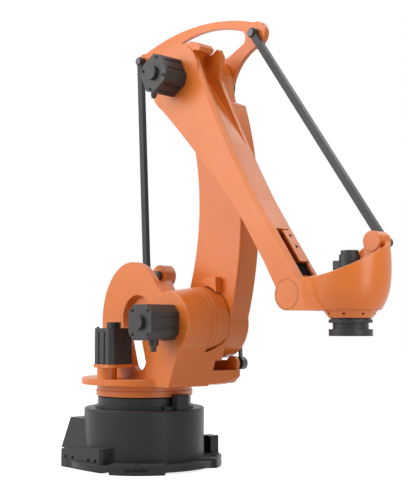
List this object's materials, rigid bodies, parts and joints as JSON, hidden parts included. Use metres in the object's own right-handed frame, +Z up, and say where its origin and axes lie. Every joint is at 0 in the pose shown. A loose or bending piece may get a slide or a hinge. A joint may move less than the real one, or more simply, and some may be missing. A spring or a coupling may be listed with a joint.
{
  "type": "palletizing robot arm",
  "caption": "Floor-standing palletizing robot arm: round bolted base, swivel column, bowed lower arm, tapered forearm, levelling rods and link, and a level wrist with a tool flange.",
  "frame": {"origin": "centre of the base's floor face, on the swivel axis", "axes": "+X forward along the arm's reach, +Y to the arm's left (away from the motors), +Z up"},
  "size_m": [1.5966, 0.644, 1.9536],
  "materials": {
    "arm_paint": "satin orange machine paint",
    "base_paint": "satin charcoal machine paint",
    "motor_black": "matt black coating",
    "rod_grey": "satin dark grey paint",
    "steel": "darkened steel"
  },
  "bodies": {
    "base": {"base_casting": "base_paint", "connector_housing": "base_paint", "neck_ring": "base_paint", "swivel_stop": "base_paint"},
    "column": {"column_casting": "arm_paint", "shoulder_gearbox": "arm_paint", "swivel_pedestal": "arm_paint", "swivel_motor": "motor_black", "swivel_motor_cap": "motor_black", "shoulder_motor": "motor_black", "shoulder_motor_cap": "motor_black", "shoulder_motor_plug": "motor_black", "post_pin": "steel", "spring_foot_pin": "steel"},
    "lower_arm": {"lower_arm": "arm_paint", "lower_arm_stop": "arm_paint", "elbow_shaft": "steel", "spring_head_pin": "steel"},
    "rear_rod": {"rear_rod": "rod_grey"},
    "level_link": {"level_link": "arm_paint", "front_link_pin": "steel", "rear_link_pin": "steel"},
    "forearm": {"forearm": "arm_paint", "forearm_cover": "arm_paint", "elbow_motor": "motor_black", "elbow_motor_cap": "motor_black"},
    "front_rod": {"front_rod": "rod_grey"},
    "wrist": {"wrist_housing": "arm_paint", "wrist_pin": "steel", "wrist_lug_pin": "steel", "wrist_cone": "arm_paint", "tool_motor": "motor_black", "tool_motor_cap": "motor_black"},
    "tool_flange": {"tool_flange": "rod_grey"},
    "spring_rod": {"spring_rod": "steel"},
    "spring_barrel": {"spring_barrel": "rod_grey"}
  },
  "joints": [
    {"name": "swivel", "type": "hinge", "parent": "base", "child": "column", "pos_m": [0, 0, 0], "axis": [0, 0, 1], "range_deg": [-180, 180]},
    {"name": "shoulder", "type": "hinge", "parent": "column", "child": "lower_arm", "pos_m": [0.312, 0, 0.61], "axis": [0, 1, 0], "range_deg": [-15, 50]},
    {"name": "rear_rod_pivot", "type": "hinge", "parent": "column", "child": "rear_rod", "pos_m": [-0.194, 0.172, 0.832], "axis": [0, 1, 0], "range_deg": [-17, 52]},
    {"name": "level_link_pivot", "type": "hinge", "parent": "lower_arm", "child": "level_link", "pos_m": [0.25783, 0, 1.64358], "axis": [0, 1, 0], "range_deg": [-52, 17]},
    {"name": "elbow", "type": "hinge", "parent": "level_link", "child": "forearm", "pos_m": [0.25783, 0, 1.64358], "axis": [0, 1, 0], "range_deg": [-66, 5]},
    {"name": "front_rod_pivot", "type": "hinge", "parent": "level_link", "child": "front_rod", "pos_m": [0.49883, 0.172, 1.83358], "axis": [0, 1, 0], "range_deg": [-68, 7]},
    {"name": "wrist_pivot", "type": "hinge", "parent": "forearm", "child": "wrist", "pos_m": [0.91669, 0, 0.70959], "axis": [0, 1, 0], "range_deg": [-7, 68]},
    {"name": "tool_turn", "type": "hinge", "parent": "wrist", "child": "tool_flange", "pos_m": [1.12969, 0, 0.56058], "axis": [0, 0, 1], "range_deg": [-350, 350]},
    {"name": "spring_rod_pivot", "type": "hinge", "parent": "column", "child": "spring_rod", "pos_m": [0.388, 0.206, 0.44], "axis": [0, 1, 0], "range_deg": [-12, 35]},
    {"name": "spring_barrel_pivot", "type": "hinge", "parent": "lower_arm", "child": "spring_barrel", "pos_m": [0.35622, 0.206, 0.91273], "axis": [0, 1, 0], "range_deg": [-20, 8]}
  ],
  "couplings": [
    {"joint": "rear_rod_pivot", "follows": "shoulder", "ratio": 1},
    {"joint": "level_link_pivot", "follows": "shoulder", "ratio": -1},
    {"joint": "spring_rod_pivot", "follows": "shoulder", "ratio": 0.65},
    {"joint": "spring_barrel_pivot", "follows": "shoulder", "ratio": -0.35},
    {"joint": "front_rod_pivot", "follows": "elbow", "ratio": 1},
    {"joint": "wrist_pivot", "follows": "elbow", "ratio": -1}
  ]
}
